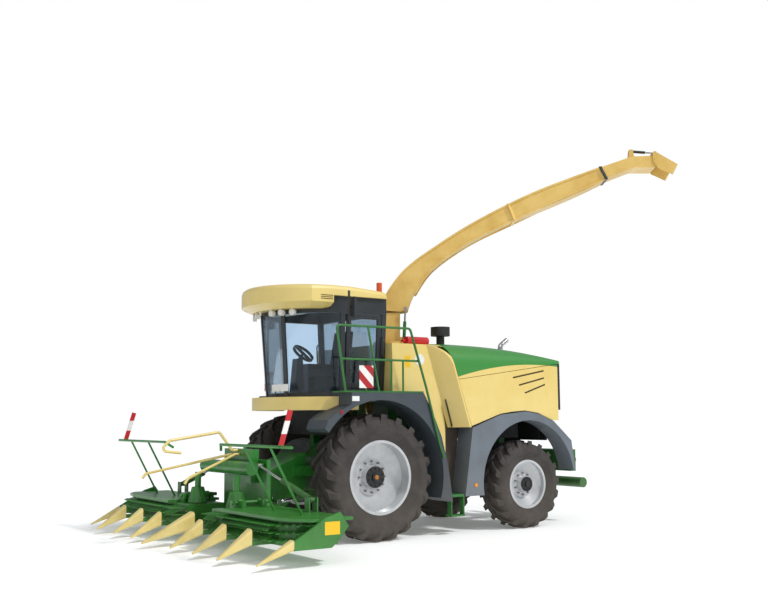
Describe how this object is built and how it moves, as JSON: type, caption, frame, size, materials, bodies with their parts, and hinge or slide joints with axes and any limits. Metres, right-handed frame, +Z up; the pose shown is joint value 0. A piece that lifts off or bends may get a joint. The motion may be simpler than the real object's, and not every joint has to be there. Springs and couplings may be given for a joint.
{
  "type": "forage harvester",
  "caption": "Self-propelled forage harvester with a wide row-independent maize header, round-fronted cab, hinged hood and a swung-out discharge spout.",
  "frame": {"origin": "on the ground, under the middle of the overall length and width", "axes": "+X forward, +Y to the machine's left, +Z up"},
  "size_m": [8.5988, 6.2, 6.501],
  "materials": {
    "tyre": "matte black rubber",
    "rim_silver": "silver paint",
    "body_yellow": "gloss pale yellow paint",
    "spout_yellow": "worn golden yellow paint",
    "body_green": "gloss green paint",
    "rod_chrome": "polished chrome",
    "fender_grey": "satin grey plastic",
    "cab_dark": "satin dark grey",
    "glass": "tinted glass",
    "seat_fabric": "dark woven fabric",
    "engine_iron": "painted iron",
    "safety_red": "gloss red paint",
    "lamp": "clear and amber lenses"
  },
  "bodies": {
    "chassis": {"access_platform": "body_green", "air_intake": "cab_dark", "cab_frame": "cab_dark", "cab_glass": "glass", "cab_roof": "body_yellow", "cab_valance": "body_yellow", "crop_channel": "body_green", "driver_seat": "seat_fabric", "engine": "engine_iron", "exhaust_pipe": "rod_chrome", "front_axle": "body_green", "front_fenders": "fender_grey", "fuel_tanks": "fender_grey", "hood_top": "body_green", "lamps": "lamp", "main_frame": "body_green", "mirrors": "cab_dark", "rear_axle": "body_green", "rear_bumper": "body_green", "rear_fenders": "fender_grey", "rear_grille": "cab_dark", "side_panels": "body_yellow", "steering_column": "cab_dark", "fire_extinguisher": "safety_red"},
    "door": {"cab_door": "cab_dark", "door_glass": "glass"},
    "hood_left": {"hood_side_left": "body_yellow"},
    "hood_right": {"hood_side_right": "body_yellow"},
    "knuckle_left": {"knuckle_left": "body_green"},
    "knuckle_right": {"knuckle_right": "body_green"},
    "wheel_front_left": {"tyre_front_left": "tyre", "rim_front_left": "rim_silver"},
    "wheel_front_right": {"tyre_front_right": "tyre", "rim_front_right": "rim_silver"},
    "wheel_rear_left": {"tyre_rear_left": "tyre", "rim_rear_left": "rim_silver"},
    "wheel_rear_right": {"tyre_rear_right": "tyre", "rim_rear_right": "rim_silver"},
    "header": {"feeder_house": "body_green", "header_frame": "body_green", "centre_guides": "body_yellow"},
    "lift_barrels": {"header_lift_barrels": "body_green"},
    "lift_rods": {"header_lift_rods": "rod_chrome"},
    "wing_left": {"wing_left": "body_green", "dividers_left": "body_yellow"},
    "wing_right": {"wing_right": "body_green", "dividers_right": "body_yellow"},
    "cone_left": {"cone_left": "body_green"},
    "cone_right": {"cone_right": "body_green"},
    "fold_barrel_left": {"fold_barrel_left": "body_green"},
    "fold_barrel_right": {"fold_barrel_right": "body_green"},
    "fold_rod_left": {"fold_rod_left": "rod_chrome"},
    "fold_rod_right": {"fold_rod_right": "rod_chrome"},
    "spout_turn": {"spout_base": "spout_yellow"},
    "spout": {"spout_arm": "spout_yellow"},
    "spout_lift_barrels": {"spout_lift_barrels": "body_green"},
    "spout_lift_rods": {"spout_lift_rods": "rod_chrome"},
    "flap": {"spout_flap": "spout_yellow"},
    "flap_barrel": {"flap_barrel": "body_green"},
    "flap_rod": {"flap_rod": "rod_chrome"}
  },
  "joints": [
    {"name": "spin_front_left", "type": "hinge", "parent": "chassis", "child": "wheel_front_left", "pos_m": [1.09945, 1.185, 0.963], "axis": [0, 1, 0], "continuous": true},
    {"name": "spin_front_right", "type": "hinge", "parent": "chassis", "child": "wheel_front_right", "pos_m": [1.09945, -1.185, 0.963], "axis": [0, 1, 0], "continuous": true},
    {"name": "steer_left", "type": "hinge", "parent": "chassis", "child": "knuckle_left", "pos_m": [-1.97455, 0.8, 0.734], "axis": [0, 0, 1], "range_deg": [-40, 40]},
    {"name": "steer_right", "type": "hinge", "parent": "chassis", "child": "knuckle_right", "pos_m": [-1.97455, -0.8, 0.734], "axis": [0, 0, 1], "range_deg": [-40, 40]},
    {"name": "spin_rear_left", "type": "hinge", "parent": "knuckle_left", "child": "wheel_rear_left", "pos_m": [-1.97455, 1.13, 0.734], "axis": [0, 1, 0], "continuous": true},
    {"name": "spin_rear_right", "type": "hinge", "parent": "knuckle_right", "child": "wheel_rear_right", "pos_m": [-1.97455, -1.13, 0.734], "axis": [0, 1, 0], "continuous": true},
    {"name": "header_lift", "type": "hinge", "parent": "chassis", "child": "header", "pos_m": [1.61945, 0, 1.05], "axis": [0, -1, 0], "range_deg": [0, 18]},
    {"name": "lift_barrel_turn", "type": "hinge", "parent": "chassis", "child": "lift_barrels", "pos_m": [1.42945, 0, 0.74], "axis": [0, -1, 0], "range_deg": [0, 14.59]},
    {"name": "lift_rod_slide", "type": "slide", "parent": "lift_barrels", "child": "lift_rods", "axis": [0.9902, 0, -0.1399], "range_m": [0, 0.0978]},
    {"name": "fold_left", "type": "hinge", "parent": "header", "child": "wing_left", "pos_m": [2.99945, 0.9, 0.665], "axis": [-1, 0, 0], "range_deg": [-75, 0]},
    {"name": "fold_right", "type": "hinge", "parent": "header", "child": "wing_right", "pos_m": [2.99945, -0.9, 0.665], "axis": [1, 0, 0], "range_deg": [-75, 0]},
    {"name": "fold_barrel_turn_left", "type": "hinge", "parent": "wing_left", "child": "fold_barrel_left", "pos_m": [2.73945, 2.15, 0.76], "axis": [1, 0, 0], "range_deg": [-5.13, 0]},
    {"name": "fold_rod_slide_left", "type": "slide", "parent": "fold_barrel_left", "child": "fold_rod_left", "axis": [0, -0.9667, 0.2559], "range_m": [-0.68955, 0]},
    {"name": "fold_barrel_turn_right", "type": "hinge", "parent": "wing_right", "child": "fold_barrel_right", "pos_m": [2.73945, -2.15, 0.76], "axis": [-1, 0, 0], "range_deg": [-5.13, 0]},
    {"name": "fold_rod_slide_right", "type": "slide", "parent": "fold_barrel_right", "child": "fold_rod_right", "axis": [0, 0.9667, 0.2559], "range_m": [-0.68955, 0]},
    {"name": "cone_spin_left", "type": "hinge", "parent": "header", "child": "cone_left", "pos_m": [3.13445, 0.67, 0.56], "axis": [0, 0, 1], "continuous": true},
    {"name": "cone_spin_right", "type": "hinge", "parent": "header", "child": "cone_right", "pos_m": [3.13445, -0.67, 0.56], "axis": [0, 0, 1], "continuous": true},
    {"name": "spout_swing", "type": "hinge", "parent": "chassis", "child": "spout_turn", "pos_m": [-0.10055, 0, 3.086], "axis": [0, 0, 1], "range_deg": [-69.5, 140.5]},
    {"name": "spout_lift", "type": "hinge", "parent": "spout_turn", "child": "spout", "pos_m": [0.02157, -0.08711, 3.76], "axis": [0.5807, 0.8141, 0], "range_deg": [-28, 0]},
    {"name": "spout_barrel_turn", "type": "hinge", "parent": "spout_turn", "child": "spout_lift_barrels", "pos_m": [-0.29187, 0.13647, 3.2], "axis": [0.5807, 0.8141, 0], "range_deg": [0, 11.48]},
    {"name": "spout_rod_slide", "type": "slide", "parent": "spout_lift_barrels", "child": "spout_lift_rods", "axis": [-0.0435, 0.031, 0.9986], "range_m": [-0.18424, 0]},
    {"name": "flap_tilt", "type": "hinge", "parent": "spout", "child": "flap", "pos_m": [-3.84548, 2.67123, 6.285], "axis": [0.5807, 0.8141, 0], "range_deg": [-40, 25]},
    {"name": "flap_barrel_turn", "type": "hinge", "parent": "spout", "child": "flap_barrel", "pos_m": [-3.54833, 2.45928, 6.475], "axis": [0.5807, 0.8141, 0], "range_deg": [-4.25, 2.66]},
    {"name": "flap_rod_slide", "type": "slide", "parent": "flap_barrel", "child": "flap_rod", "axis": [-0.8112, 0.5786, -0.084], "range_m": [-0.06441, 0.10306]},
    {"name": "door_swing", "type": "hinge", "parent": "chassis", "child": "door", "pos_m": [0.78545, 0.89754, 2.25606], "axis": [0, 0.0759, 0.9971], "range_deg": [0, 40]},
    {"name": "hood_left_lift", "type": "hinge", "parent": "chassis", "child": "hood_left", "pos_m": [-1.60055, 1.385, 2.61028], "axis": [0.9909, 0, -0.1348], "range_deg": [0, 70]},
    {"name": "hood_right_lift", "type": "hinge", "parent": "chassis", "child": "hood_right", "pos_m": [-1.60055, -1.385, 2.61028], "axis": [-0.9909, 0, 0.1348], "range_deg": [0, 70]}
  ],
  "couplings": [
    {"joint": "steer_right", "follows": "steer_left", "ratio": 1},
    {"joint": "lift_barrel_turn", "follows": "header_lift", "ratio": 0.81064},
    {"joint": "lift_rod_slide", "follows": "header_lift", "m_per_rad": 0.31131},
    {"joint": "fold_barrel_turn_left", "follows": "fold_left", "ratio": 0.068428},
    {"joint": "fold_rod_slide_left", "follows": "fold_left", "m_per_rad": 0.52677},
    {"joint": "fold_barrel_turn_right", "follows": "fold_right", "ratio": 0.068428},
    {"joint": "fold_rod_slide_right", "follows": "fold_right", "m_per_rad": 0.52677},
    {"joint": "spout_barrel_turn", "follows": "spout_lift", "ratio": -0.40984},
    {"joint": "spout_rod_slide", "follows": "spout_lift", "m_per_rad": 0.37701},
    {"joint": "flap_barrel_turn", "follows": "flap_tilt", "ratio": 0.10632},
    {"joint": "flap_rod_slide", "follows": "flap_tilt", "m_per_rad": -0.14763}
  ]
}
